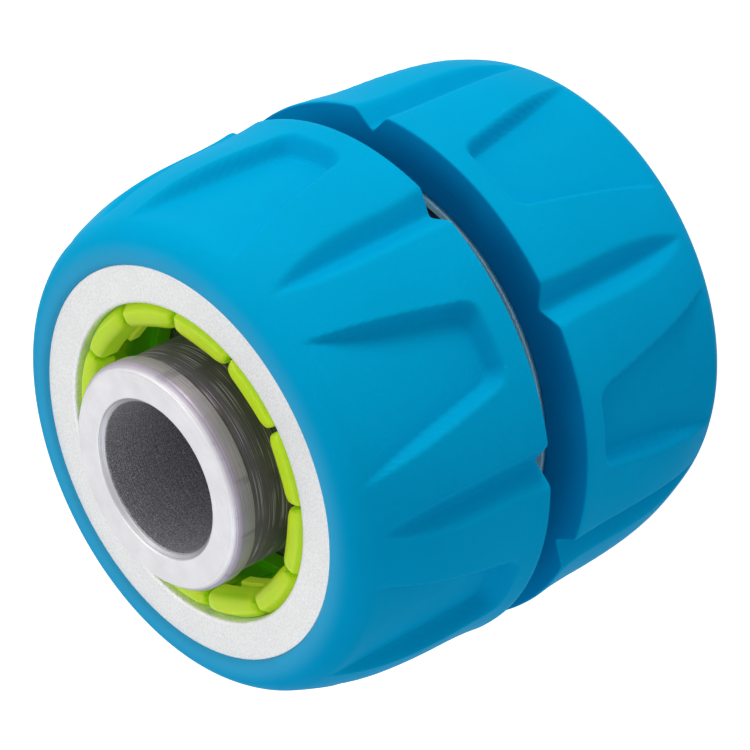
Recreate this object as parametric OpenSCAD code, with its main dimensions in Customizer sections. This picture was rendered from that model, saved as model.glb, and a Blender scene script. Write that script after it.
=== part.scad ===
// Hose mender for 19 mm garden hose.
// One plated metal joiner carries a screw-on nut, a soft grip and a
// fingered collet at each end. It stands on its lower tail, axis up,
// with z = 0 at the lower tail's mouth. All sizes are in millimetres.

/* [Length along the axis] */

// Length of each grip, from the ring face at the small end to its rim
grip_length = 19.7; // [16:0.1:26]
// Gap between the two grips at the middle
grip_gap = 4.3; // [3:0.1:8]
// How far each hose tail stands out of its ring
tail_reach = 3.5; // [1:0.1:8]

/* [Joiner body] */

// Radius of the waterway
waterway_radius = 6.9; // [5:0.1:9]
// Wall of the machined tail behind the bead
tail_wall = 3.2; // [1:0.05:5]
// How far the bead at each tail's mouth stands above the tail
bead_rise = 0.3; // [0.1:0.05:1.2]
// Length of the bead
bead_length = 2.1; // [1:0.1:5]
// Rounding of the bead's front edge, made as two bevels
bead_round = 0.6; // [0.2:0.05:1]
// Bevel at the mouth of the waterway
mouth_bevel = 0.55; // [0.1:0.05:1]
// Length of the slope behind the bead
bead_slope = 0.3; // [0.1:0.1:1]
// How far the threaded hub stands out round the ring's hole
hub_rise = 2.1; // [1:0.1:4]
// Distance from the wide end of the nut's inner cone to the hub's end
hub_gap = 0.7; // [0.5:0.1:4]
// How far the collar between the nuts stands above the hub
collar_rise = 0.7; // [0.3:0.1:2]
// Free space between the collar and a nut that is screwed home
collar_clearance = 0.25; // [0.1:0.05:1]
// Depth of the run-out groove beside the collar
runout_depth = 0.5; // [0.2:0.1:1]
// Length of that groove
runout_length = 0.8; // [0.4:0.1:2]
// Bevel at the hub's end
hub_bevel = 0.6; // [0.1:0.1:1.5]
// Small bevel on the joiner's other edges
edge_bevel = 0.3; // [0.1:0.05:0.6]

/* [Nut] */

// Wall of the nut's shell outside its thread bore
nut_wall = 1.7; // [1:0.1:3]
// How far the grip's lip reaches in over the ring face
lip_overlap = 0.6; // [0.2:0.05:1.5]
// Length of the straight wall of the ring's hole
ring_wall = 1.2; // [0.6:0.1:3]
// Bevel on the ring hole's front edge
ring_bevel = 0.25; // [0.05:0.05:0.6]
// Depth of the step that the grip's lip covers
lip_step = 0.35; // [0.2:0.05:1]
// Free radius between the nut's thread bore and the hub
thread_clearance = 0.3; // [0.2:0.05:0.6]
// Distance from the ring face to the wide end of the inner cone
cone_depth = 9.6; // [6:0.1:12]
// Bevel inside the nut's open end
open_bevel = 1.0; // [0.3:0.1:1.5]

/* [Collet] */

// Number of fingers
finger_count = 12; // [6:1:16]
// Width of the slot between two fingers
slot_width = 0.9; // [0.5:0.1:2]
// Distance from the ring face down to the fingertips
tip_depth = 0.25; // [0:0.05:2]
// Width of the space for the hose, between the bead and the finger heads
hose_space = 1.8; // [1:0.1:4]
// Thickness of a finger's head
head_thickness = 2.05; // [1.2:0.05:4]
// Length of the finger heads along the axis
head_length = 2.2; // [1:0.1:4]
// How much further out than the heads the second row of teeth ends
tooth_step = 0.6; // [0.1:0.1:2]
// How much further out than the teeth the fingers' inner wall lies
tooth_height = 0.6; // [0.2:0.1:2]
// Distance from the heads to the second row of teeth, and its length
tooth_pitch = 1.6; // [0.8:0.1:3]
// Free space between the collet and the nut's inner cone
collet_clearance = 0.25; // [0.2:0.05:0.6]
// Height of the unslotted base ring
base_height = 1.8; // [1:0.1:3]
// How much further out than the heads the base ring's hole is
base_step = 1.5; // [0.5:0.1:3]
// Free space between the base ring and the hub's end
base_clearance = 0.3; // [0.1:0.05:1]
// Bevel on each side of a finger's front edge
head_bevel = 0.45; // [0:0.05:1]
// Rounding of a head's front edges, made as one bevel
head_round = 0.3; // [0.1:0.05:0.8]
// Angle of the first slot of both collets
slot_angle = 27; // [0:1:30]

/* [Grip] */

// Wall of the grip outside the nut, at the rim
grip_wall = 5.4; // [3:0.1:9]
// How much less wide the barrel is at its waist than at the rim
rim_flare = 0.33; // [0:0.01:1.5]
// Distance from the rim to the barrel's waist
waist_length = 6.5; // [3:0.1:9]
// Wall of the grip outside the nut where the lip's curve ends
shoulder_wall = 1.9; // [1:0.1:4]
// Depth below the ring face where the lip's curve ends
shoulder_depth = 0.28; // [0:0.01:1]
// How sharply the barrel's swell levels off towards the waist
swell_power = 2.2; // [1.5:0.1:4]
// How steeply the swell starts at the shoulder
swell_ease = 0.8; // [0.5:0.05:1.2]
// How far the lip stands proud of the ring face
lip_proud = 0.4; // [0.1:0.05:1]
// Width of the lip from the ring face's edge to its highest place
lip_width = 0.9; // [0.5:0.1:2]
// Bevel of the rim's edge
rim_bevel = 0.35; // [0.1:0.05:1]
// Number of panels, and of grooves between them
panel_count = 6; // [4:1:10]
// Angle of the first groove of the upper grip
upper_groove_angle = 55; // [0:1:60]
// Angle of the first groove of the lower grip
lower_groove_angle = 26; // [0:1:60]

/* [Grip panels] */

// Distance from the rim to a panel's steep end wall
panel_margin = 2.4; // [1:0.1:6]
// Distance from the ring face to where a panel is widest
panel_start = 2.0; // [0:0.1:6]
// Half width of a panel at its end wall
panel_half_end = 3.6; // [2:0.1:8]
// Half width of a panel where it is widest
panel_half_far = 6.9; // [3:0.1:12]
// Wall that a panel leaves over the nut at its end wall
floor_wall_end = 3.45; // [1:0.05:6]
// Wall that a panel leaves over the nut near the small end
floor_wall_far = 3.0; // [1:0.05:6]
// Lean of the end wall away from upright
end_lean = 33; // [5:1:60]
// Lean of the side walls away from upright
side_lean = 20; // [5:1:60]

/* [Grip grooves] */

// Wall that a groove leaves over the nut at the rim
groove_wall_rim = 3.7; // [1:0.05:6]
// Wall that a groove leaves over the nut at its pointed end
groove_wall_point = 3.27; // [1:0.05:6]
// Distance from the ring face to a groove's pointed end
groove_start = 2.4; // [0:0.1:8]
// Half width of a groove where it cuts the rim
groove_half = 2.0; // [1:0.1:5]
// Half width of the flat that stands for the rounded bottom
groove_flat = 0.3; // [0.1:0.05:1]

/* [Hidden] */

neck_radius = waterway_radius + tail_wall;
bead_radius = neck_radius + bead_rise;
head_radius = bead_radius + hose_space;
collet_tip_radius = head_radius + head_thickness;
ring_hole = collet_tip_radius + collet_clearance;
hub_radius = ring_hole + hub_rise;
thread_radius = hub_radius + thread_clearance;
collar_radius = hub_radius + collar_rise;
nut_radius = thread_radius + nut_wall;
ring_radius = nut_radius - lip_overlap;
rim_radius = nut_radius + grip_wall;
waist_radius = rim_radius - rim_flare;
shoulder_radius = nut_radius + shoulder_wall;
lip_crest = ring_radius + lip_width;
floor_end = nut_radius + floor_wall_end;
floor_far = nut_radius + floor_wall_far;
groove_rim = nut_radius + groove_wall_rim;
groove_point = nut_radius + groove_wall_point;
hub_depth = cone_depth + hub_gap;
panel_end = grip_length - panel_margin;
panel_far = panel_start;
panel_edge = rim_radius - rim_flare;
$fn = 128;
far = rim_radius * 3;
half_length = grip_gap / 2 + grip_length + tail_reach;
middle = half_length;
ring_height = grip_gap / 2 + grip_length;
collar_half = grip_gap / 2 - collar_clearance;
hub_end = ring_height - hub_depth;
base_bottom = hub_depth - base_clearance;
base_top = base_bottom - base_height;
collet_base_radius = thread_radius - collet_clearance;
tooth_radius = head_radius + tooth_step;
finger_inside = tooth_radius + tooth_height;
base_hole = head_radius + base_step;
head_end = tip_depth + head_length;
rim_depth = grip_length;
groove_height = rim_radius - groove_rim;

// Which node is drawn; the word all draws every one

// Puts a shape drawn as depth below the upper ring face in its place,
// at the upper end or turned over to the lower end.
module at_end(upper, angle = 0) {
    translate([0, 0, middle])
        rotate([upper ? 0 : 180, 0, 0])
            rotate([0, 0, upper ? angle : -angle])
                translate([0, 0, ring_height])
                    mirror([0, 0, 1]) children();
}

// The joiner's outside from its middle up to the mouth of the upper tail
function joiner_side(top) = [
    [collar_radius, collar_half - edge_bevel],
    [collar_radius - edge_bevel, collar_half],
    [hub_radius - runout_depth, collar_half],
    [hub_radius - runout_depth, collar_half + runout_length],
    [hub_radius, collar_half + runout_length + runout_depth],
    [hub_radius, hub_end - hub_bevel], [hub_radius - hub_bevel, hub_end],
    [neck_radius, hub_end], [neck_radius, top - bead_length - bead_slope],
    [bead_radius, top - bead_length], [bead_radius, top - bead_round],
    [bead_radius - bead_round * 0.29, top - bead_round * 0.29],
    [bead_radius - bead_round, top],
    [waterway_radius + mouth_bevel, top],
    [waterway_radius, top - mouth_bevel]];

module joiner_body() {
    side = joiner_side(half_length);
    last = len(side) - 1;
    color([0.62, 0.62, 0.64])
        translate([0, 0, middle])
            rotate_extrude()
                polygon(concat(side, [for (i = [last : -1 : 0])
                                          [side[i][0], -side[i][1]]]));
}

// The nut, a turned shell with a ring face and an inner cone
module nut() {
    rotate_extrude() polygon([
        [ring_hole + ring_bevel, 0], [ring_radius, 0],
        [ring_radius, lip_step], [nut_radius, lip_step],
        [nut_radius, rim_depth], [thread_radius + open_bevel, rim_depth],
        [thread_radius, rim_depth - open_bevel], [thread_radius, cone_depth],
        [ring_hole, ring_wall], [ring_hole, ring_bevel]]);
}

module upper_nut() {
    color([0.86, 0.86, 0.84]) at_end(true) nut();
}

module lower_nut() {
    color([0.86, 0.86, 0.84]) at_end(false) nut();
}

// The collet before it is slotted
module collet_ring() {
    tooth_start = head_end + tooth_pitch - tooth_height / 2;
    rotate_extrude() polygon([
        [head_radius, tip_depth + head_round],
        [head_radius + head_round, tip_depth],
        [collet_tip_radius - head_round, tip_depth],
        [collet_tip_radius, tip_depth + head_round],
        [collet_tip_radius, ring_wall],
        [collet_base_radius, cone_depth], [collet_base_radius, base_bottom],
        [base_hole, base_bottom], [base_hole, base_top],
        [finger_inside, tooth_start + tooth_pitch],
        [tooth_radius, tooth_start + tooth_pitch - tooth_height / 2],
        [tooth_radius, tooth_start + tooth_height / 2],
        [finger_inside, tooth_start],
        [finger_inside, head_end + (finger_inside - head_radius) / 2],
        [head_radius, head_end]]);
}

// The collet, its ring cut into fingers with bevelled heads
module collet() {
    difference() {
        collet_ring();
        for (i = [0 : finger_count - 1])
            rotate([0, 0, i * 360 / finger_count]) {
                translate([0, -slot_width / 2, -base_top])
                    cube([far, slot_width, base_top * 2]);
                translate([0, 0, tip_depth])
                    rotate([45, 0, 0])
                        translate([0, -(slot_width / 2 + head_bevel) / sqrt(2),
                                   -(slot_width / 2 + head_bevel) / sqrt(2)])
                            cube([far, (slot_width + 2 * head_bevel) / sqrt(2),
                                  (slot_width + 2 * head_bevel) / sqrt(2)]);
            }
    }
}

module upper_collet() {
    color([0.70, 0.86, 0.12]) at_end(true, slot_angle) collet();
}

module lower_collet() {
    color([0.70, 0.86, 0.12]) at_end(false, slot_angle) collet();
}

// Radius of the plain barrel at share w of the way from shoulder to waist
function swell(w) = shoulder_radius + (waist_radius - shoulder_radius)
    * pow(1 - pow(1 - w, swell_power), swell_ease);

// The barrel of a grip with no pattern on it
module grip_barrel() {
    waist_depth = rim_depth - waist_length;
    rotate_extrude() polygon(concat(
        [[ring_radius, lip_step], [ring_radius, 0],
         [lip_crest - lip_width * 0.55, -lip_proud * 0.9],
         [lip_crest, -lip_proud],
         [lip_crest + lip_width * 0.75, -lip_proud * 0.6]],
        [for (w = [0, 0.05, 0.13, 0.22, 0.34, 0.48, 0.65, 0.82, 1])
            [swell(w), shoulder_depth + w * (waist_depth - shoulder_depth)]],
        [[waist_radius + rim_flare * 0.1, rim_depth - waist_length * 0.6],
         [waist_radius + rim_flare * 0.45, rim_depth - waist_length * 0.3],
         [rim_radius, rim_depth - rim_bevel],
         [rim_radius - rim_bevel, rim_depth],
         [nut_radius, rim_depth], [nut_radius, lip_step]]));
}

// Everything on the panel's side of one leaning side wall
module inside_wall(side) {
    slope = atan((panel_half_far - panel_half_end) / (panel_end - panel_far));
    translate([panel_edge, side * panel_half_end, panel_end])
        rotate([side * slope, 0, 0]) rotate([0, 0, side * side_lean])
            translate([-far, side > 0 ? -far : 0, -far])
                cube([far * 2, far, far * 2]);
}

// The space of one panel: three leaning walls above a coned floor
module panel_space() {
    difference() {
        intersection() {
            translate([0, -rim_radius / 2, -rim_depth / 3])
                cube([far, rim_radius, rim_depth * 2]);
            translate([panel_edge, 0, panel_end]) rotate([0, -end_lean, 0])
                translate([-far, -far / 2, -far]) cube([far * 2, far, far]);
            inside_wall(1);
            inside_wall(-1);
        }
        rotate_extrude() polygon([
            [0, -rim_depth], [floor_far, -rim_depth], [floor_far, panel_far],
            [floor_end, panel_end], [floor_end, rim_depth * 2],
            [0, rim_depth * 2]]);
    }
}

// The space of one groove: a wedge whose bottom climbs to its point
module groove_space() {
    climb = atan((groove_rim - groove_point) / (rim_depth - groove_start));
    wide = groove_flat + (groove_half - groove_flat) * 2;
    translate([groove_rim, 0, rim_depth])
        rotate([0, climb, 0])
            rotate([0, 0, -90])
                translate([0, 0, -rim_depth * 2])
                    linear_extrude(height = rim_depth * 2.5)
                        polygon([[-groove_flat, 0], [groove_flat, 0],
                                 [wide, groove_height * 2],
                                 [-wide, groove_height * 2]]);
}

// One patterned grip
module grip() {
    difference() {
        grip_barrel();
        for (i = [0 : panel_count - 1]) {
            rotate([0, 0, i * 360 / panel_count]) groove_space();
            rotate([0, 0, (i + 0.5) * 360 / panel_count]) panel_space();
        }
    }
}

module upper_grip() {
    color([0.0, 0.60, 0.80]) at_end(true, upper_groove_angle) grip();
}

module lower_grip() {
    color([0.0, 0.60, 0.80]) at_end(false, lower_groove_angle) grip();
}

joiner_body();
upper_nut();
upper_grip();
upper_collet();
lower_nut();
lower_grip();
lower_collet();
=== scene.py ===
"""Hose mender, dressed for a photograph: a turned metal joiner with a lime
collet, an aluminium nut and a blue soft grip at each end."""

import bmesh
import bpy
import numpy as np
from mathutils import Matrix


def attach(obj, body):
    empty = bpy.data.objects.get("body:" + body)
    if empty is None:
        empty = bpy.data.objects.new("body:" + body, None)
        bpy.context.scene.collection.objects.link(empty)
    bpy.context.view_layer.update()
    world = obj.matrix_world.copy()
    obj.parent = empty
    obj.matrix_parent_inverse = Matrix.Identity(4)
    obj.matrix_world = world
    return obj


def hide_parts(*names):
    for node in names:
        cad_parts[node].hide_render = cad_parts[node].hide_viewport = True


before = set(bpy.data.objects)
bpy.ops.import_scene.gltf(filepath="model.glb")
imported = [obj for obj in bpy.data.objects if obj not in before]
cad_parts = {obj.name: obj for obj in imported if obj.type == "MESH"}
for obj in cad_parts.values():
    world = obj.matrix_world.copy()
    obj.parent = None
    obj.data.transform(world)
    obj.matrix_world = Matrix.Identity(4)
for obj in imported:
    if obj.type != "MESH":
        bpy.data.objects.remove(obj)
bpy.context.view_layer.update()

MM = 0.001                            # the pieces' sizes are in mm, the studio's in m

# STUDIO
# A pale floor, white air all round and three soft lamps: the key lamp above,
# a wider one at the left and a weak one at the lower left. The camera is the
# photograph's long lens, rolled so that the upper tail points down and left.

CAMERA_PLACE = (-0.0004, -0.3463, 0.2700)
CAMERA_RIGHT = (-0.4458, -0.5161, -0.7313)
CAMERA_UP = (0.8950, -0.2571, -0.3642)
CAMERA_BACK = (0.0, -0.8169, 0.5767)
LENS_MM = 233.8
SENSOR_MM = 36.0
NEAR_CLIP, FAR_CLIP = 0.01, 20.0
OBJECT_CENTRE = (0.0, 0.0, 0.0254)
LAMP_DISTANCE = 0.60
KEY_MIX = (0.02, 0.85, 0.42)          # left, up and back to the camera
KEY_SIZE = 0.24
KEY_WATTS = 1.72
KEY_TINT = (1.0, 0.99, 0.90)
SIDE_MIX = (1.00, 0.15, 0.45)
SIDE_SIZE = 0.40
SIDE_WATTS = 0.98
SIDE_TINT = (1.0, 0.99, 0.985)
LOW_MIX = (0.50, -0.95, 0.30)
LOW_SIZE = 0.45
LOW_WATTS = 0.70
LOW_TINT = (0.88, 0.96, 1.12)
AIR_STRENGTH = 0.44
AIR_TINT = (0.96, 0.97, 1.04)
FLOOR_WHITE = 0.90
FLOOR_SEEN = 0.50
FLOOR_LIFT = 0.87
FLOOR_HALF = 1.5

axes = np.array([CAMERA_RIGHT, CAMERA_UP, CAMERA_BACK])
axes /= np.linalg.norm(axes, axis=1)[:, None]
pose = Matrix.Identity(4)
for row in range(3):
    for column in range(3):
        pose[row][column] = float(axes[column][row])
    pose[row][3] = CAMERA_PLACE[row]
camera = bpy.data.objects.new("camera", bpy.data.cameras.new("camera"))
camera.data.lens = LENS_MM
camera.data.sensor_width = SENSOR_MM
camera.data.clip_start = NEAR_CLIP
camera.data.clip_end = FAR_CLIP
camera.matrix_world = pose
bpy.context.scene.collection.objects.link(camera)
bpy.context.scene.camera = camera
bpy.context.scene.view_settings.view_transform = "Standard"


def lamp(name, mix, size, watts, tint):
    """A square soft lamp that faces the object from a mix of left, up and back."""
    way = -mix[0] * axes[0] + mix[1] * axes[1] + mix[2] * axes[2]
    way /= np.linalg.norm(way)
    side = np.cross(CAMERA_UP, way)
    side /= np.linalg.norm(side)
    turn = np.array([side, np.cross(way, side), way])
    place = np.array(OBJECT_CENTRE) + way * LAMP_DISTANCE
    light = bpy.data.objects.new(name, bpy.data.lights.new(name, "AREA"))
    light.data.shape = "SQUARE"
    light.data.size = size
    light.data.energy = watts
    light.data.color = tint
    matrix = Matrix.Identity(4)
    for row in range(3):
        for column in range(3):
            matrix[row][column] = float(turn[column][row])
        matrix[row][3] = float(place[row])
    light.matrix_world = matrix
    bpy.context.scene.collection.objects.link(light)


lamp("key_lamp", KEY_MIX, KEY_SIZE, KEY_WATTS, KEY_TINT)
lamp("side_lamp", SIDE_MIX, SIDE_SIZE, SIDE_WATTS, SIDE_TINT)
lamp("low_lamp", LOW_MIX, LOW_SIZE, LOW_WATTS, LOW_TINT)


def seen_white(tree):
    """1 for rays that show the background: camera, glossy and transmission."""
    seen = tree.nodes.new("ShaderNodeLightPath")
    total = None
    for word in ("Is Camera Ray", "Is Glossy Ray", "Is Transmission Ray"):
        node = tree.nodes.new("ShaderNodeMath")
        node.operation = "MAXIMUM"
        tree.links.new(seen.outputs[word], node.inputs[0])
        if total is None:
            node.inputs[1].default_value = 0.0
        else:
            tree.links.new(total, node.inputs[1])
        total = node.outputs[0]
    return total


air = bpy.data.worlds.new("studio_air")
bpy.context.scene.world = air
air.use_nodes = True
nodes, links = air.node_tree.nodes, air.node_tree.links
nodes.clear()
dim = nodes.new("ShaderNodeBackground")
dim.inputs["Strength"].default_value = AIR_STRENGTH
dim.inputs["Color"].default_value = (*AIR_TINT, 1)
white = nodes.new("ShaderNodeBackground")
white.inputs["Color"].default_value = (1, 1, 1, 1)
pick = nodes.new("ShaderNodeMixShader")
result = nodes.new("ShaderNodeOutputWorld")
links.new(seen_white(air.node_tree), pick.inputs[0])
links.new(dim.outputs[0], pick.inputs[1])
links.new(white.outputs[0], pick.inputs[2])
links.new(pick.outputs[0], result.inputs["Surface"])

floor_mesh = bpy.data.meshes.new("floor")
signs = ((-1, -1), (1, -1), (1, 1), (-1, 1))
floor_mesh.from_pydata([(x * FLOOR_HALF, y * FLOOR_HALF, 0) for x, y in signs], [],
                       [(0, 1, 2, 3)])
floor = bpy.data.objects.new("floor", floor_mesh)
bpy.context.scene.collection.objects.link(floor)
floor.visible_shadow = False          # the key lamp's lower half shines through
paper = bpy.data.materials.new("studio_paper")
paper.use_nodes = True
nodes, links = paper.node_tree.nodes, paper.node_tree.links
nodes.clear()
matte = nodes.new("ShaderNodeBsdfDiffuse")
matte.inputs["Color"].default_value = (FLOOR_WHITE, FLOOR_WHITE, FLOOR_WHITE, 1)
shown = nodes.new("ShaderNodeBsdfDiffuse")
shown.inputs["Color"].default_value = (FLOOR_SEEN, FLOOR_SEEN, FLOOR_SEEN, 1)
glow = nodes.new("ShaderNodeEmission")
glow.inputs["Color"].default_value = (1, 1, 1, 1)
glow.inputs["Strength"].default_value = FLOOR_LIFT
both = nodes.new("ShaderNodeAddShader")
pick = nodes.new("ShaderNodeMixShader")
result = nodes.new("ShaderNodeOutputMaterial")
links.new(shown.outputs[0], both.inputs[0])
links.new(glow.outputs[0], both.inputs[1])
links.new(seen_white(paper.node_tree), pick.inputs[0])
links.new(matte.outputs[0], pick.inputs[1])
links.new(both.outputs[0], pick.inputs[2])
links.new(pick.outputs[0], result.inputs["Surface"])
floor_mesh.materials.append(paper)

# JOINER BODY
# One metal piece turned from bar: a hose tail at each end with a polished
# bead, two hubs with a coarse thread, and a collar that the nuts stop at.
# The tails behind the beads and the hubs are painted dark, a painted shade and dark reflection
# of their recesses; the waterway is a darker, speckled grey.

TOTAL = 50.7
MIDDLE = TOTAL / 2
RING_HEIGHT = 21.85                   # middle to either ring face
WATERWAY = 6.9
BEAD = 10.4
BEAD_LENGTH = 2.1
NECK = 10.1
HUB = 16.6
HUB_END = 11.55                       # middle to the hub's end face
COLLAR = 17.3
COLLAR_HALF = 1.9
HUB_STEP = 0.7                        # the hub's foot, before the thread
MOUTH_WIDER = 0.5                     # chamfer of the waterway's mouth
THREAD_PITCH = 3.0
THREAD_DEPTH = 0.85
THREAD_RUN = 1.2                      # fades in and out over this length
THREAD_HALF = 0.36                    # half a groove's width, as a share of the pitch
THREAD_FLANK = 0.20                   # its flank, as a share of the pitch
SAME = 0.02                           # radii this close are one surface
LONGEST_EDGE = 0.24
JOINER_AROUND = 196


def rounded(corners, steps=4, hold=0.05):
    """Closed outline with each (r, z, radius) corner turned into an arc.

    The arc touches both edges at radius / tan(half the corner's angle), and a
    holding point just outside each end keeps flat faces flat when smoothed."""
    loop = []
    count = len(corners)
    for i in range(count):
        p = np.array(corners[i][:2], float)
        a = np.array(corners[i - 1][:2], float) - p
        b = np.array(corners[(i + 1) % count][:2], float) - p
        la, lb = np.linalg.norm(a), np.linalg.norm(b)
        a, b = a / la, b / lb
        angle = np.arccos(np.clip(a @ b, -1, 1))
        radius = corners[i][2]
        cut = min(radius / np.tan(angle / 2), 0.45 * la, 0.45 * lb)
        radius = cut * np.tan(angle / 2)
        middle = (a + b) / np.linalg.norm(a + b) * radius / np.sin(angle / 2)
        start, end = a * cut - middle, b * cut - middle
        sweep = np.pi - angle
        w = np.linspace(0, 1, steps + 1)[:, None]
        arc = (np.sin((1 - w) * sweep) * start + np.sin(w * sweep) * end) / np.sin(sweep)
        loop += [p + a * (cut + min(hold, 0.04 * la))]
        loop += list(p + middle + arc)
        loop += [p + b * (cut + min(hold, 0.04 * lb))]
    return np.array(loop)


def refine(loop, longest):
    """The closed outline with points added until no edge is over that length."""
    out = []
    for p, q in zip(loop, np.roll(loop, -1, axis=0)):
        n = max(1, int(np.ceil(np.linalg.norm(q - p) / longest)))
        out.append(p + (q - p) * (np.arange(n) / n)[:, None])
    return np.vstack(out)


def put_mesh(name, points, faces):
    """A mesh object from points in mm and faces, all turned to face outwards.

    The signed volume, a sum of point triple products, says which way they face."""
    points = np.asarray(points, float) * MM
    mesh = bpy.data.meshes.new(name)
    a, b, c = points[faces[:, 0]], points[faces[:, 1]], points[faces[:, 2]]
    volume = np.einsum("ij,ij->i", a, np.cross(b, c)).sum()
    if faces.shape[1] == 4:
        d = points[faces[:, 3]]
        volume += np.einsum("ij,ij->i", a, np.cross(c, d)).sum()
    if volume < 0:
        faces = faces[:, ::-1]
    mesh.from_pydata(points.tolist(), [], faces.tolist())
    mesh.polygons.foreach_set("use_smooth", np.full(len(faces), True))
    mesh.update()
    thing = bpy.data.objects.new(name, mesh)
    bpy.context.scene.collection.objects.link(thing)
    return thing


def ring_faces(around, along):
    """Quads of a grid that closes on itself both ways, row after row."""
    i, j = np.meshgrid(np.arange(around), np.arange(along), indexing="ij")
    i2, j2 = (i + 1) % around, (j + 1) % along
    quads = np.stack([i * along + j, i2 * along + j, i2 * along + j2, i * along + j2], -1)
    return quads.reshape(-1, 4)


def turned(name, radius, height, angle):
    """Surface of arrays radius and height over (angle, outline): x = r cos, y = r sin."""
    x = radius * np.cos(angle)[:, None]
    y = radius * np.sin(angle)[:, None]
    points = np.stack([x, y, np.broadcast_to(height, x.shape)], -1).reshape(-1, 3)
    return put_mesh(name, points, ring_faces(*x.shape))


def thread_cut(angle, z, low, high, depth):
    """Depth of a right-hand thread groove: a flat-bottomed V once every pitch.

    Its place is z / pitch - angle / turn, and its flanks are smooth steps; it
    fades in and out over THREAD_RUN at its two ends."""
    place = (z[None, :] / THREAD_PITCH - angle[:, None] / (2 * np.pi)) % 1.0
    shape = np.clip((THREAD_HALF - np.abs(place - 0.5)) / THREAD_FLANK, 0, 1)
    shape = shape * shape * (3 - 2 * shape)
    fade = np.clip(np.minimum(z - low, high - z) / THREAD_RUN, 0, 1)
    return depth * shape * fade[None, :]


side = [(COLLAR, COLLAR_HALF, 0.3), (HUB - HUB_STEP, COLLAR_HALF, 0.1),
        (HUB - HUB_STEP, COLLAR_HALF + 0.9, 0.2), (HUB, COLLAR_HALF + 1.5, 0.2),
        (HUB, HUB_END - 0.6, 0.2), (HUB - 0.6, HUB_END, 0.15), (NECK, HUB_END, 0.3),
        (NECK, MIDDLE - BEAD_LENGTH - 0.35, 0.15), (BEAD, MIDDLE - BEAD_LENGTH, 0.12),
        (BEAD, MIDDLE - 0.62, 0.4), (BEAD - 0.55, MIDDLE, 0.06),
        (WATERWAY + MOUTH_WIDER, MIDDLE, 0.22), (WATERWAY, MIDDLE - 0.55, 0.25)]
outline = side + [(r, -z, radius) for r, z, radius in side[::-1]]
corners = [(r, z + MIDDLE, radius) for r, z, radius in outline]
loop = refine(rounded(corners, 5), LONGEST_EDGE)
long_bore = (loop[:, 0] < WATERWAY + 0.01) & (np.abs(loop[:, 1] - MIDDLE) < MIDDLE - 2)
keep = ~long_bore | (np.arange(len(loop)) % 12 == 0)
loop = loop[keep]
angle = np.arange(JOINER_AROUND) * 2 * np.pi / JOINER_AROUND
radius = np.tile(loop[:, 0], (JOINER_AROUND, 1))
crest = np.abs(loop[:, 0] - HUB) < SAME
for low, high in ((MIDDLE + COLLAR_HALF + 1.4, MIDDLE + HUB_END + 0.2),
                  (MIDDLE - HUB_END - 0.2, MIDDLE - COLLAR_HALF - 1.4)):
    cut = thread_cut(angle, loop[:, 1], low, high, THREAD_DEPTH)
    radius -= np.where(crest[None, :], cut, 0)
joiner = turned("joiner_turned", radius, loop[:, 1], angle)


def effect(name, inputs, outputs):
    """A new node group with named inputs (name, kind, value) and outputs."""
    tree = bpy.data.node_groups.new(name, "ShaderNodeTree")
    for word, kind, value in inputs:
        socket = tree.interface.new_socket(word, in_out="INPUT", socket_type=kind)
        socket.default_value = value
    for word, kind in outputs:
        tree.interface.new_socket(word, in_out="OUTPUT", socket_type=kind)
    return tree, tree.nodes.new("NodeGroupInput"), tree.nodes.new("NodeGroupOutput")


def step(tree, operation, a, b=0.0, c=None):
    """A Math node; each of a, b and c is a socket or a number."""
    node = tree.nodes.new("ShaderNodeMath")
    node.operation = operation
    for slot, value in enumerate((a, b) if c is None else (a, b, c)):
        if isinstance(value, (int, float)):
            node.inputs[slot].default_value = value
        else:
            tree.links.new(value, node.inputs[slot])
    return node.outputs[0]


def between(tree, value, low, high):
    """0 below low, 1 above high and a smooth step in between, by Map Range."""
    node = tree.nodes.new("ShaderNodeMapRange")
    node.interpolation_type = "SMOOTHSTEP"
    node.clamp = True
    tree.links.new(value, node.inputs["Value"])
    node.inputs["From Min"].default_value = low
    node.inputs["From Max"].default_value = high
    return node.outputs["Result"]


# Grain: two sizes of noise in object space, for sand-blasted and moulded
# skins. Height drives a Bump; Tone is a slow drift of the colour round 1.
grain, enter, leave = effect(
    "surface_grain",
    [("Fine Scale", "NodeSocketFloat", 6000.0), ("Broad Scale", "NodeSocketFloat", 300.0),
     ("Drift", "NodeSocketFloat", 0.05)],
    [("Height", "NodeSocketFloat"), ("Tone", "NodeSocketFloat")])
place = grain.nodes.new("ShaderNodeTexCoord")
fine = grain.nodes.new("ShaderNodeTexNoise")
fine.inputs["Detail"].default_value = 3.0
grain.links.new(place.outputs["Object"], fine.inputs["Vector"])
grain.links.new(enter.outputs["Fine Scale"], fine.inputs["Scale"])
broad = grain.nodes.new("ShaderNodeTexNoise")
broad.inputs["Detail"].default_value = 3.0
grain.links.new(place.outputs["Object"], broad.inputs["Vector"])
grain.links.new(enter.outputs["Broad Scale"], broad.inputs["Scale"])
grain.links.new(fine.outputs["Fac"], leave.inputs["Height"])
centred = step(grain, "SUBTRACT", broad.outputs["Fac"], 0.5)
swing = step(grain, "MULTIPLY", centred, enter.outputs["Drift"])
grain.links.new(step(grain, "MULTIPLY_ADD", swing, 2.0, 1.0), leave.inputs["Tone"])

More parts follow.
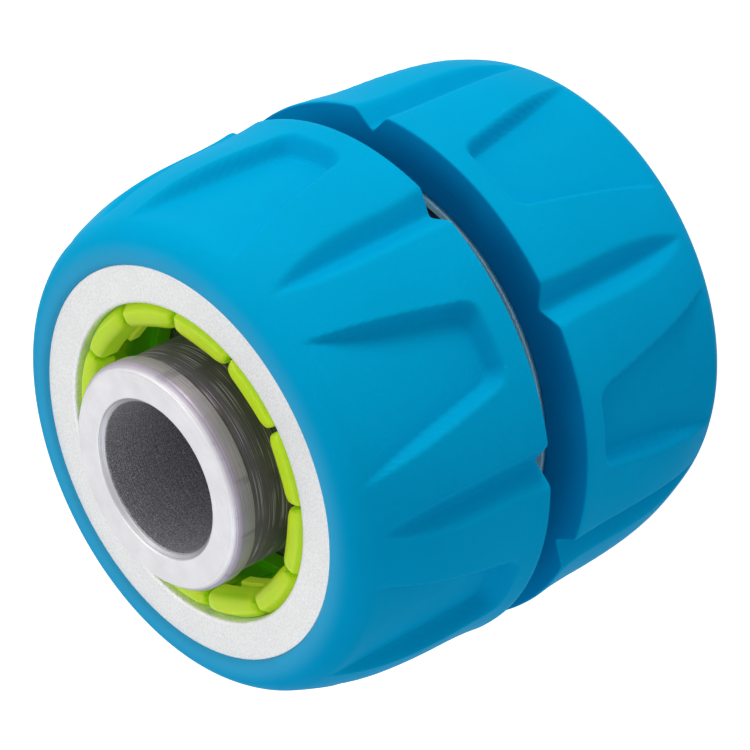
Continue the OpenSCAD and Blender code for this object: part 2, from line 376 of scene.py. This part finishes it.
# Turning marks: noise read on (radius, height) only, so that it runs round
# the piece in fine lines as the lathe tool left it.
lathe, enter, leave = effect(
    "turning_marks",
    [("Line Scale", "NodeSocketFloat", 3000.0), ("Breaks", "NodeSocketFloat", 0.02)],
    [("Height", "NodeSocketFloat"), ("Radius", "NodeSocketFloat"),
     ("Along", "NodeSocketFloat")])
place = lathe.nodes.new("ShaderNodeTexCoord")
split = lathe.nodes.new("ShaderNodeSeparateXYZ")
lathe.links.new(place.outputs["Object"], split.inputs[0])
squares = [step(lathe, "MULTIPLY", split.outputs[k], split.outputs[k]) for k in (0, 1)]
across = step(lathe, "SQRT", step(lathe, "ADD", *squares))
flat = lathe.nodes.new("ShaderNodeCombineXYZ")
breaks = enter.outputs["Breaks"]
lathe.links.new(step(lathe, "MULTIPLY_ADD", split.outputs[0], breaks, across), flat.inputs[0])
lathe.links.new(step(lathe, "MULTIPLY", split.outputs[1], breaks), flat.inputs[1])
lathe.links.new(split.outputs[2], flat.inputs[2])
lines = lathe.nodes.new("ShaderNodeTexNoise")
lines.inputs["Detail"].default_value = 2.0
lathe.links.new(flat.outputs[0], lines.inputs["Vector"])
lathe.links.new(enter.outputs["Line Scale"], lines.inputs["Scale"])
lathe.links.new(lines.outputs["Fac"], leave.inputs["Height"])
lathe.links.new(across, leave.inputs["Radius"])
lathe.links.new(split.outputs[2], leave.inputs["Along"])


def finish_of(name, roughness, metallic=0.0, specular=0.5):
    """A new material with its tree and its Principled shader."""
    material = bpy.data.materials.new(name)
    material.use_nodes = True
    shader = material.node_tree.nodes["Principled BSDF"]
    shader.inputs["Roughness"].default_value = roughness
    shader.inputs["Metallic"].default_value = metallic
    shader.inputs["Specular IOR Level"].default_value = specular
    return material, material.node_tree, shader


def use(tree, group, **values):
    """A group node of that effect with some inputs set, words joined by _."""
    node = tree.nodes.new("ShaderNodeGroup")
    node.node_tree = group
    for word, value in values.items():
        node.inputs[word.replace("_", " ")].default_value = value
    return node


def blend(tree, factor, low, high):
    """Colour mix; low and high are colours or sockets, factor a socket."""
    node = tree.nodes.new("ShaderNodeMix")
    node.data_type = "RGBA"
    tree.links.new(factor, node.inputs["Factor"])
    for word, value in (("A", low), ("B", high)):
        socket = [s for s in node.inputs if s.name == word and s.type == "RGBA"][0]
        if isinstance(value, tuple):
            socket.default_value = (*value, 1)
        else:
            tree.links.new(value, socket)
    return [s for s in node.outputs if s.type == "RGBA"][0]


def scaled(tree, colour, amount):
    """A colour, socket or tuple, times a number socket."""
    node = tree.nodes.new("ShaderNodeVectorMath")
    node.operation = "SCALE"
    if isinstance(colour, tuple):
        node.inputs[0].default_value = colour
    else:
        tree.links.new(colour, node.inputs[0])
    tree.links.new(amount, node.inputs["Scale"])
    return node.outputs[0]


def raise_by(tree, shader, height, distance, strength, base=None):
    """A Bump of that height in metres, put on the shader's normal if there is one."""
    node = tree.nodes.new("ShaderNodeBump")
    node.inputs["Distance"].default_value = distance
    node.inputs["Strength"].default_value = strength
    tree.links.new(height, node.inputs["Height"])
    if base is not None:
        tree.links.new(base, node.inputs["Normal"])
    if shader is not None:
        tree.links.new(node.outputs[0], shader.inputs["Normal"])
    return node.outputs[0]


SILVER = (0.77, 0.76, 0.775)
# Painted shade: the bead's side is darker than its face.
BEAD_SIDE_PAINTED_SHADE = (0.365, 0.308, 0.390)
# Painted shade: the neck and hub colours are dark for the shade and dark reflections of their
# recesses.
NECK_PAINTED_SHADE = (0.200, 0.152, 0.245)
HUB_PAINTED_SHADE = (0.205, 0.200, 0.210)
BORE_SKIN = (0.40, 0.39, 0.405)
metal, tree, shader = finish_of("turned_metal", 0.3, 1.0)

# Where on the joiner a point is: on a bead, in the waterway or on a hub.
marks = use(tree, lathe, Line_Scale=9000.0, Breaks=0.012)
skin = use(tree, grain, Fine_Scale=8000.0, Broad_Scale=500.0, Drift=0.12)
from_mouth = step(tree, "MINIMUM", marks.outputs["Along"],
                  step(tree, "SUBTRACT", TOTAL * MM, marks.outputs["Along"]))
off_axis = marks.outputs["Radius"]
hub_from_mouth = MIDDLE - HUB_END
past_bead = between(tree, from_mouth, (BEAD_LENGTH - 0.05) * MM, (BEAD_LENGTH + 0.10) * MM)
on_bead = step(tree, "SUBTRACT", 1.0, past_bead)
outside = between(tree, off_axis, (WATERWAY + 0.03) * MM, (WATERWAY + 0.12) * MM)
bright = step(tree, "MULTIPLY", on_bead, outside)
inside = step(tree, "SUBTRACT", 1.0, outside)
on_side = between(tree, off_axis, (BEAD - 0.60) * MM, (BEAD - 0.02) * MM)
past_mouth = between(tree, off_axis, (WATERWAY + 0.40) * MM, (WATERWAY + 0.58) * MM)
at_mouth = step(tree, "SUBTRACT", 1.0, past_mouth)
at_hub = between(tree, from_mouth, (hub_from_mouth - 1.0) * MM, (hub_from_mouth - 0.2) * MM)
rear = between(tree, from_mouth, 0.7 * MM, BEAD_LENGTH * MM)
edge = step(tree, "MULTIPLY", between(tree, off_axis, (BEAD - 0.85) * MM, (BEAD - 0.55) * MM),
            between(tree, from_mouth, 0.75 * MM, 0.45 * MM))

# Nicks: noise stretched along the axis, kept only where it is highest.
place = tree.nodes.new("ShaderNodeTexCoord")
longer = tree.nodes.new("ShaderNodeVectorMath")
longer.operation = "MULTIPLY"
longer.inputs[1].default_value = (1.0, 1.0, 0.15)
tree.links.new(place.outputs["Object"], longer.inputs[0])
chips = tree.nodes.new("ShaderNodeTexNoise")
chips.inputs["Scale"].default_value = 900.0
chips.inputs["Detail"].default_value = 4.0
tree.links.new(longer.outputs[0], chips.inputs["Vector"])
nicks = between(tree, chips.outputs["Fac"], 0.54, 0.70)

# Painted shade: the tails and hubs are painted dark for the shade and dark reflections in
# their recesses, with bright tool lines in patches; specks in the waterway.
lines = between(tree, marks.outputs["Height"], 0.50, 0.68)
patchy = use(tree, grain, Broad_Scale=330.0, Drift=1.0)
gaps = between(tree, patchy.outputs["Tone"], 0.70, 1.20)
streak = step(tree, "MULTIPLY_ADD", step(tree, "MULTIPLY", lines, gaps), 2.7, 0.66)
speck = step(tree, "ADD", between(tree, skin.outputs["Height"], 0.35, 0.75), 0.60)
neck_and_hub_shade = blend(tree, at_hub, NECK_PAINTED_SHADE, HUB_PAINTED_SHADE)
dark = blend(tree, inside, scaled(tree, neck_and_hub_shade, streak), scaled(tree, BORE_SKIN, speck))

# The bead's bright skin; its darker side, its darker rear and its darker mouth are painted
# shade, and its nicks and the scratches along its edge are darker wear.
silver_and_side_shade = blend(tree, on_side, SILVER, BEAD_SIDE_PAINTED_SHADE)
shade_and_tone = step(tree, "MULTIPLY_ADD", rear, -0.12, skin.outputs["Tone"])
shade_and_tone = step(tree, "MULTIPLY_ADD", at_mouth, -0.34, shade_and_tone)
worn_and_shaded = step(tree, "MULTIPLY_ADD", step(tree, "MULTIPLY", nicks, on_side), -0.26, shade_and_tone)
worn_and_shaded = step(tree, "MULTIPLY_ADD", step(tree, "MULTIPLY", lines, edge), -0.30, worn_and_shaded)
tone = blend(tree, bright, dark, scaled(tree, silver_and_side_shade, worn_and_shaded))
tree.links.new(tone, shader.inputs["Base Color"])
plain = step(tree, "MULTIPLY", bright, step(tree, "SUBTRACT", 1.0, on_side))
tree.links.new(step(tree, "MULTIPLY_ADD", plain, 0.38, 0.34), shader.inputs["Metallic"])
rough = step(tree, "MULTIPLY_ADD", bright, -0.10, 0.48)
tree.links.new(step(tree, "MULTIPLY_ADD", inside, 0.12, rough), shader.inputs["Roughness"])
first = raise_by(tree, None, marks.outputs["Height"], 0.00006, 0.8)
raise_by(tree, shader, skin.outputs["Height"], 0.00003, 0.5, first)
joiner.data.materials.append(metal)
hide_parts("joiner_body")
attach(joiner, "joiner")

# COLLETS
# A lime plastic moulding round each tail: twelve fingers on a base ring. A
# finger has a thick rounded head with bevelled ends and a second, lower
# tooth, and the nut's cone presses it on the hose.

FINGERS = 12
SLOT_ANGLE = 27.0
SLOT = 0.5
END_BEVEL = 0.24
END_BEVEL_WIDE = 0.9
BEVEL_REACH = 2.0                     # depth at which the heads' bevel has ended
TOOTH_WIDTH = 0.52                    # share of the finger's width
TOOTH_SIDE = 0.12                     # the tooth's flanks, as such a share too
TOOTH_FROM, TOOTH_TO, TOOTH_FOOT = 2.85, 4.3, 13.15
END_ROUND = 0.30
FLATTEN = 0.6
FLAT_RADIUS, FLAT_FADE = 13.4, 0.6    # only faces inside that radius are flattened
ACROSS = 25
FINGER_EDGE, BASE_EDGE = 0.35, 0.6    # longest edges along the outlines
BASE_AROUND = 144
FINGER_OUTLINE = [
    (12.2, 0.12, 0.70), (13.8, 0.12, 0.4), (14.38, 0.85, 0.4), (16.4, 8.4, 0.1),
    (14.1, 8.4, 0.1), (13.6, 6.2, 0.3), (13.3, 4.35, 0.2), (12.15, 4.2, 0.12),
    (12.15, 3.1, 0.12), (13.1, 2.9, 0.1), (13.1, 2.5, 0.1), (12.2, 2.3, 0.10)]
BASE_OUTLINE = [(13.5, 8.25, 0.15), (16.1, 8.2, 0.2), (16.4, 8.6, 0.2),
                (16.4, 9.95, 0.2), (13.5, 9.95, 0.2)]


def at_end(points, upper):
    """Points drawn as depth below a ring face, put at the upper or lower end."""
    height = RING_HEIGHT - points[..., 2]
    points[..., 2] = MIDDLE + (height if upper else -height)
    return points


def finger_points(centre):
    """One finger: its outline carried round the axis from side to side.

    Near each side the outline shrinks along its own normals by a quarter circle,
    and its front drops by a bevel; the inner faces are part of the way from an
    arc to a flat, r / cos(angle from the finger's middle). The second tooth is
    only TOOTH_WIDTH wide: past that its radius rises to that of its foot."""
    loop = refine(rounded(FINGER_OUTLINE, 4, 0.03), FINGER_EDGE)
    ahead = np.roll(loop, -1, axis=0) - np.roll(loop, 1, axis=0)
    ahead /= np.linalg.norm(ahead, axis=1)[:, None]
    normal = np.stack([ahead[:, 1], -ahead[:, 0]], -1)
    area = np.sum(loop[:, 0] * np.roll(loop[:, 1], -1) - np.roll(loop[:, 0], -1) * loop[:, 1])
    normal *= -np.sign(area)
    u = np.sin(np.linspace(-1, 1, ACROSS) * np.pi / 2)
    half = loop[:, 0] * np.pi / FINGERS - SLOT / 2
    y = u[:, None] * half[None, :]
    edge = np.clip((np.abs(y) - (half[None, :] - END_ROUND)) / END_ROUND, 0, 1)
    shrink = END_ROUND * (1 - np.sqrt(np.maximum(0, 1 - edge ** 2)))
    slope = np.clip((np.abs(y) - (half[None, :] - END_BEVEL_WIDE)) / END_BEVEL_WIDE, 0, 1)
    front = np.clip(BEVEL_REACH - loop[:, 1], 0, 1)[None, :]
    chord = loop[None, :, 0] * (1 / np.cos(y / loop[None, :, 0]) - 1)
    flat = FLATTEN * chord * np.clip((FLAT_RADIUS - loop[None, :, 0]) / FLAT_FADE, 0, 1)
    r = loop[None, :, 0] + normal[None, :, 0] * shrink + flat
    tooth = (loop[:, 1] > TOOTH_FROM) & (loop[:, 1] < TOOTH_TO) & (loop[:, 0] < TOOTH_FOOT)
    beside = np.clip((np.abs(u) - TOOTH_WIDTH) / TOOTH_SIDE, 0, 1)[:, None] * tooth[None, :]
    r = r + (TOOTH_FOOT - r) * beside * (3 - 2 * beside) * beside
    t = loop[None, :, 1] + normal[None, :, 1] * shrink + END_BEVEL * slope ** 1.5 * front
    turn = np.radians(centre) + y / loop[None, :, 0]
    return np.stack([r * np.cos(turn), r * np.sin(turn), t], -1)


def collet(name, upper):
    """All fingers and the base ring of one collet as one object of closed shells."""
    points, quads, ends, start = [], [], [], 0
    for number in range(FINGERS):
        grid = at_end(finger_points(SLOT_ANGLE + (number + 0.5) * 360 / FINGERS), upper)
        rows, columns = grid.shape[:2]
        i, j = np.meshgrid(np.arange(rows - 1), np.arange(columns), indexing="ij")
        j2 = (j + 1) % columns
        quad = np.stack([i * columns + j, (i + 1) * columns + j,
                         (i + 1) * columns + j2, i * columns + j2], -1).reshape(-1, 4)
        quads.append(quad + start)
        last = start + (rows - 1) * columns
        ends += [list(range(start, start + columns)), list(range(last, last + columns))[::-1]]
        points.append(grid.reshape(-1, 3))
        start += rows * columns
    loop = refine(rounded(BASE_OUTLINE, 3, 0.03), BASE_EDGE)
    turn = np.arange(BASE_AROUND) * 2 * np.pi / BASE_AROUND
    base = np.stack([loop[None, :, 0] * np.cos(turn)[:, None],
                     loop[None, :, 0] * np.sin(turn)[:, None],
                     np.broadcast_to(loop[:, 1], (BASE_AROUND, len(loop)))], -1)
    base = at_end(base, upper)
    quads.append(ring_faces(*base.shape[:2]) + start)
    points.append(base.reshape(-1, 3))
    mesh = bpy.data.meshes.new(name)
    faces = np.vstack(quads).tolist() + ends
    mesh.from_pydata((np.vstack(points) * MM).tolist(), [], faces)
    mesh.polygons.foreach_set("use_smooth", np.full(len(faces), True))
    work = bmesh.new()
    work.from_mesh(mesh)
    bmesh.ops.recalc_face_normals(work, faces=work.faces)
    work.to_mesh(mesh)
    work.free()
    thing = bpy.data.objects.new(name, mesh)
    bpy.context.scene.collection.objects.link(thing)
    return thing


def off_middle(tree, marks):
    """Distance from the joiner's middle plane: the size of height less middle."""
    above = step(tree, "SUBTRACT", marks.outputs["Along"], MIDDLE * MM)
    return step(tree, "ABSOLUTE", above)


LIME = (0.60, 0.90, 0.015)
LIME_PAINTED_SHADE = (0.10, 0.50, 0.0)
GLOW_DEEP = (0.08, 0.40, 0.0)
GLOW_TEETH = (0.42, 0.62, 0.03)
GLOW, GLOW_MORE = 0.11, 0.20
plastic, tree, shader = finish_of("lime_plastic", 0.36, 0.0, 0.25)
skin = use(tree, grain, Fine_Scale=2200.0, Broad_Scale=260.0, Drift=0.10)
marks = use(tree, lathe)
from_middle = off_middle(tree, marks)
# Painted shade: the fingers turn a deeper green further inside, away from their fronts.
in_front = between(tree, from_middle, (RING_HEIGHT - 5.6) * MM, (RING_HEIGHT - 4.2) * MM)
lime = blend(tree, in_front, LIME_PAINTED_SHADE, LIME)
tree.links.new(scaled(tree, lime, skin.outputs["Tone"]), shader.inputs["Base Color"])
raise_by(tree, shader, skin.outputs["Height"], 0.00002, 0.35)
shader.inputs["Subsurface Weight"].default_value = 0.85
shader.inputs["Subsurface Radius"].default_value = (0.40, 1.0, 0.06)
shader.inputs["Subsurface Scale"].default_value = 0.0035

# Painted light: an emission makes the plastic glow a little, green deep inside and lime on the
# teeth, in place of light scattered through it.
outer = between(tree, marks.outputs["Radius"], 12.3 * MM, 12.9 * MM)
ahead = between(tree, from_middle, (RING_HEIGHT - 1.0) * MM, (RING_HEIGHT - 0.2) * MM)
teeth = step(tree, "MULTIPLY", step(tree, "SUBTRACT", 1.0, outer),
             step(tree, "SUBTRACT", 1.0, ahead))
tree.links.new(blend(tree, teeth, GLOW_DEEP, GLOW_TEETH), shader.inputs["Emission Color"])
tree.links.new(step(tree, "MULTIPLY_ADD", teeth, GLOW_MORE, GLOW),
               shader.inputs["Emission Strength"])

for end in ("upper", "lower"):
    ring = collet(end + "_collet_fingers", end == "upper")
    ring.data.materials.append(plastic)
    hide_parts(end + "_collet")
    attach(ring, end + "_clamp")

# NUTS
# Turned aluminium shells, sand-blasted all over. The ring face shows inside
# the grip's lip, a cone inside presses the collet, and the bore behind it is
# threaded; the open end's plain edge shows in the gap between the grips.

NUT = 18.6
RING = 18.0
RING_HOLE = 14.5
THREAD_BORE = 16.9
GRIP_LENGTH = 19.7
BORE_CUT = 0.7                        # depth of the thread in the nut
NUT_EDGE = 0.3
NUT_AROUND = 224
NUT_OUTLINE = [
    (RING_HOLE, 0.0, 0.35), (RING, 0.0, 0.12), (RING, 0.35, 0.05), (NUT, 0.35, 0.1),
    (NUT, GRIP_LENGTH, 0.12), (THREAD_BORE + 1.0, GRIP_LENGTH, 0.1),
    (THREAD_BORE, GRIP_LENGTH - 1.0, 0.1), (THREAD_BORE, 9.6, 0.2), (RING_HOLE, 1.2, 0.2)]


def nut(name, upper):
    """The nut's outline turned round the axis, its bore cut by the same thread."""
    loop = refine(rounded(NUT_OUTLINE, 4), NUT_EDGE)
    outer = loop[:, 0] > NUT - SAME
    loop = loop[~outer | (np.arange(len(loop)) % 6 == 0) | (loop[:, 1] < 0.7)
                | (loop[:, 1] > GRIP_LENGTH - 0.4)]
    angle = np.arange(NUT_AROUND) * 2 * np.pi / NUT_AROUND
    z = RING_HEIGHT - loop[:, 1]
    z = MIDDLE + (z if upper else -z)
    radius = np.tile(loop[:, 0], (NUT_AROUND, 1))
    bore = np.abs(loop[:, 0] - THREAD_BORE) < SAME
    low, high = np.sort([z[bore].min(), z[bore].max()])
    radius += np.where(bore[None, :], thread_cut(angle, z, low, high, BORE_CUT), 0)
    return turned(name, radius, z, angle)


BLASTED = (0.80, 0.80, 0.78)
CUT_END_PAINTED_REFLECTION = (0.55, 0.90, 0.97)
blasted, tree, shader = finish_of("blasted_aluminium", 0.55, 0.60, 0.5)
skin = use(tree, grain, Fine_Scale=4600.0, Broad_Scale=420.0, Drift=0.05)
sparkle = step(tree, "MULTIPLY_ADD", skin.outputs["Height"], 0.42, 0.79)
skin_tone = scaled(tree, BLASTED, step(tree, "MULTIPLY", sparkle, skin.outputs["Tone"]))
raise_by(tree, shader, skin.outputs["Height"], 0.00010, 0.8)

# The open end is cut after blasting, so its face and bevel are bright; their blue-green tint
# and part of their brightness are a painted reflection of the blue grips and a painted
# highlight.
marks = use(tree, lathe)
from_middle = off_middle(tree, marks)
cut_end = step(tree, "SUBTRACT", 1.0, between(tree, from_middle, 3.05 * MM, 3.25 * MM))
tree.links.new(blend(tree, cut_end, skin_tone, CUT_END_PAINTED_REFLECTION), shader.inputs["Base Color"])
tree.links.new(step(tree, "MULTIPLY_ADD", cut_end, -0.45, 0.60), shader.inputs["Metallic"])

for end in ("upper", "lower"):
    shell = nut(end + "_nut_shell", end == "upper")
    shell.data.materials.append(blasted)
    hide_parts(end + "_nut")
    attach(shell, end + "_cap")

# GRIPS
# Blue thermoplastic rubber moulded straight on each nut, with a lip rolled
# over the ring's edge. Six shallow panels, widest at the small end, take
# turns with six V grooves that cut through the rim.

RIM_ROUND = 0.20
UPPER_GROOVE = 55.0
LOWER_GROOVE = 26.0
SPACES = 6
GRIP_AROUND = 600
BARREL = np.array([
    (18.10, -0.02), (18.22, -0.24), (18.52, -0.37), (18.9, -0.40), (19.4, -0.32),
    (19.9, -0.12), (20.5, 0.28), (21.1, 0.95), (21.7, 2.0), (22.5, 4.3), (23.0, 6.2),
    (23.35, 8.4), (23.56, 10.8), (23.66, 13.2), (23.7, 15.4), (23.82, 17.6),
    (24.0, 19.25)])
PANEL_END, PANEL_FAR = 17.3, 2.0
PANEL_HALF_END, PANEL_HALF_FAR = 3.6, 6.9
PANEL_TOP = 23.7
FLOOR_END, FLOOR_FAR = 22.05, 21.6
END_LEAN, SIDE_LEAN = 27.0, 16.0
PLAN_ROUND = 1.4
GROOVE_RIM, GROOVE_POINT, GROOVE_START = 22.3, 21.87, 2.4
GROOVE_ROUND = 0.30
EDGE_SOFT = 0.26
FLOOR_SOFT = 0.16
LIP_PLAIN, LIP_FADE = 0.3, 0.8        # depth where the pattern starts, and its fade
ALONG_BARREL = 118
END_INNER = NUT + 0.55
INSIDE = np.array([                   # a small groove at the nut's end, then the bore
    (NUT + 0.48, GRIP_LENGTH), (NUT + 0.28, GRIP_LENGTH - 0.12),
    (NUT + 0.16, GRIP_LENGTH - 0.5), (NUT + 0.01, GRIP_LENGTH - 0.8),
    (NUT + 0.01, 0.40), (RING + 0.02, 0.36), (RING + 0.02, 0.02)])


def curve_through(points, count):
    """Smooth curve through points: Catmull-Rom pieces, even steps along them."""
    p = np.vstack([2 * points[0] - points[1], points, 2 * points[-1] - points[-2]])
    s = np.linspace(0, len(points) - 1 - 1e-9, count)
    i = s.astype(int)
    w = (s - i)[:, None]
    a, b, c, d = p[i], p[i + 1], p[i + 2], p[i + 3]
    return 0.5 * (2 * b + (c - a) * w + (2 * a - 5 * b + 4 * c - d) * w ** 2
                  + (3 * b - a - 3 * c + d) * w ** 3)


def soft_low(a, b, soft):
    """The lower of two heights, with their corner rounded over soft."""
    h = np.clip(0.5 + 0.5 * (b - a) / soft, 0, 1)
    return b + (a - b) * h - soft * h * (1 - h)


def soft_high(a, b, soft):
    """The higher of two heights, with their corner rounded over soft."""
    return -soft_low(-a, -b, soft)


def pattern(r, t, turn):
    """Radius of the grip once its panels and grooves are cut.

    A panel's surface is the higher of its coned floor and its leaning walls, which
    rise by the distance past its rounded plan; a groove's is a rounded V on a
    straight line; the grip is the lowest of barrel, panel and groove."""
    part = 2 * np.pi / SPACES
    to_groove = (turn + part / 2) % part - part / 2
    to_panel = turn % part - part / 2
    y = np.abs(r * np.sin(to_panel))
    w = (t - PANEL_FAR) / (PANEL_END - PANEL_FAR)
    half = PANEL_HALF_FAR + (PANEL_HALF_END - PANEL_HALF_FAR) * w
    floor = FLOOR_FAR + (FLOOR_END - FLOOR_FAR) * w
    past_side, past_end = y - half, t - PANEL_END
    past = soft_high(past_side, past_end, PLAN_ROUND)
    at_end_wall = np.clip(0.5 + 0.5 * (past_end - past_side) / PLAN_ROUND, 0, 1)
    lean = np.radians(SIDE_LEAN + (END_LEAN - SIDE_LEAN) * at_end_wall)
    walls = PANEL_TOP + past / np.tan(lean)
    panel = soft_high(floor, walls, FLOOR_SOFT)
    x = r * np.sin(to_groove)
    line = GROOVE_POINT + (GROOVE_RIM - GROOVE_POINT) * (t - GROOVE_START) / (
        GRIP_LENGTH - GROOVE_START)
    groove = line + np.sqrt(x * x + GROOVE_ROUND ** 2) - GROOVE_ROUND
    return soft_low(soft_low(r, panel, EDGE_SOFT), groove, EDGE_SOFT)


def grip(name, upper, first_groove):
    """Lip, patterned barrel, rounded rim, flat end and bore as one closed grid."""
    turn = np.arange(GRIP_AROUND) * 2 * np.pi / GRIP_AROUND
    barrel = curve_through(BARREL, 400)
    gone = np.concatenate([[0], np.cumsum(np.linalg.norm(np.diff(barrel, axis=0), axis=1))])
    even = np.linspace(0, gone[-1], ALONG_BARREL)
    r = np.interp(even, gone, barrel[:, 0])
    t = np.interp(even, gone, barrel[:, 1])
    cut = pattern(r[None, :], t[None, :], (turn - np.radians(first_groove))[:, None])
    rise = np.clip((t - LIP_PLAIN) / LIP_FADE, 0, 1)
    cut = r[None, :] + (cut - r[None, :]) * (rise * rise * (3 - 2 * rise))[None, :]
    edge = cut[:, -1:]
    bend = np.linspace(0, np.pi / 2, 6)[1:][None, :]
    round_r = edge - RIM_ROUND * (1 - np.cos(bend))
    round_t = np.broadcast_to(GRIP_LENGTH - RIM_ROUND * (1 - np.sin(bend)), round_r.shape)
    w = np.array([0.03, 0.25, 0.5, 0.75, 0.97])[None, :]
    face_r = (edge - RIM_ROUND) * (1 - w) + END_INNER * w
    face_t = np.full_like(face_r, GRIP_LENGTH)
    inside_r = np.broadcast_to(INSIDE[:, 0], (GRIP_AROUND, len(INSIDE)))
    inside_t = np.broadcast_to(INSIDE[:, 1], (GRIP_AROUND, len(INSIDE)))
    radius = np.hstack([cut, round_r, face_r, inside_r])
    depth = np.hstack([np.broadcast_to(t, cut.shape), round_t, face_t, inside_t])
    z = MIDDLE + (RING_HEIGHT - depth) * (1 if upper else -1)
    return turned(name, radius, z, turn)


RUBBER = (0.0, 0.375, 0.665)
RUBBER_END_PAINTED_SHADE = (0.0, 0.295, 0.60)
PALE_LIP = (0.20, 0.58, 0.78)
rubber, tree, shader = finish_of("soft_touch_rubber", 0.50, 0.0, 0.006)
skin = use(tree, grain, Fine_Scale=5200.0, Broad_Scale=160.0, Drift=0.05)
marks = use(tree, lathe)
lip = step(tree, "SUBTRACT", 1.0, between(tree, marks.outputs["Radius"], 18.6 * MM, 20.4 * MM))
from_middle = off_middle(tree, marks)
at_ring = step(tree, "MULTIPLY", lip, between(tree, from_middle, 20 * MM, 21 * MM))
dust = use(tree, grain, Fine_Scale=2600.0)
specks = step(tree, "MULTIPLY", between(tree, dust.outputs["Height"], 0.735, 0.80), 0.35)
# Painted shade: the flat end faces in the gap between the grips are a deeper blue.
off_end = between(tree, from_middle, 2.16 * MM, 2.26 * MM)
body = scaled(tree, blend(tree, off_end, RUBBER_END_PAINTED_SHADE, RUBBER), skin.outputs["Tone"])
tree.links.new(blend(tree, step(tree, "MULTIPLY_ADD", at_ring, 0.20, specks), body, PALE_LIP),
               shader.inputs["Base Color"])
raise_by(tree, shader, skin.outputs["Height"], 0.00003, 0.60)

for end, first in (("upper", UPPER_GROOVE), ("lower", LOWER_GROOVE)):
    sleeve = grip(end + "_grip_rubber", end == "upper", first)
    sleeve.data.materials.append(rubber)
    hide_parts(end + "_grip")
    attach(sleeve, end + "_cap")

bpy.context.view_layer.update()
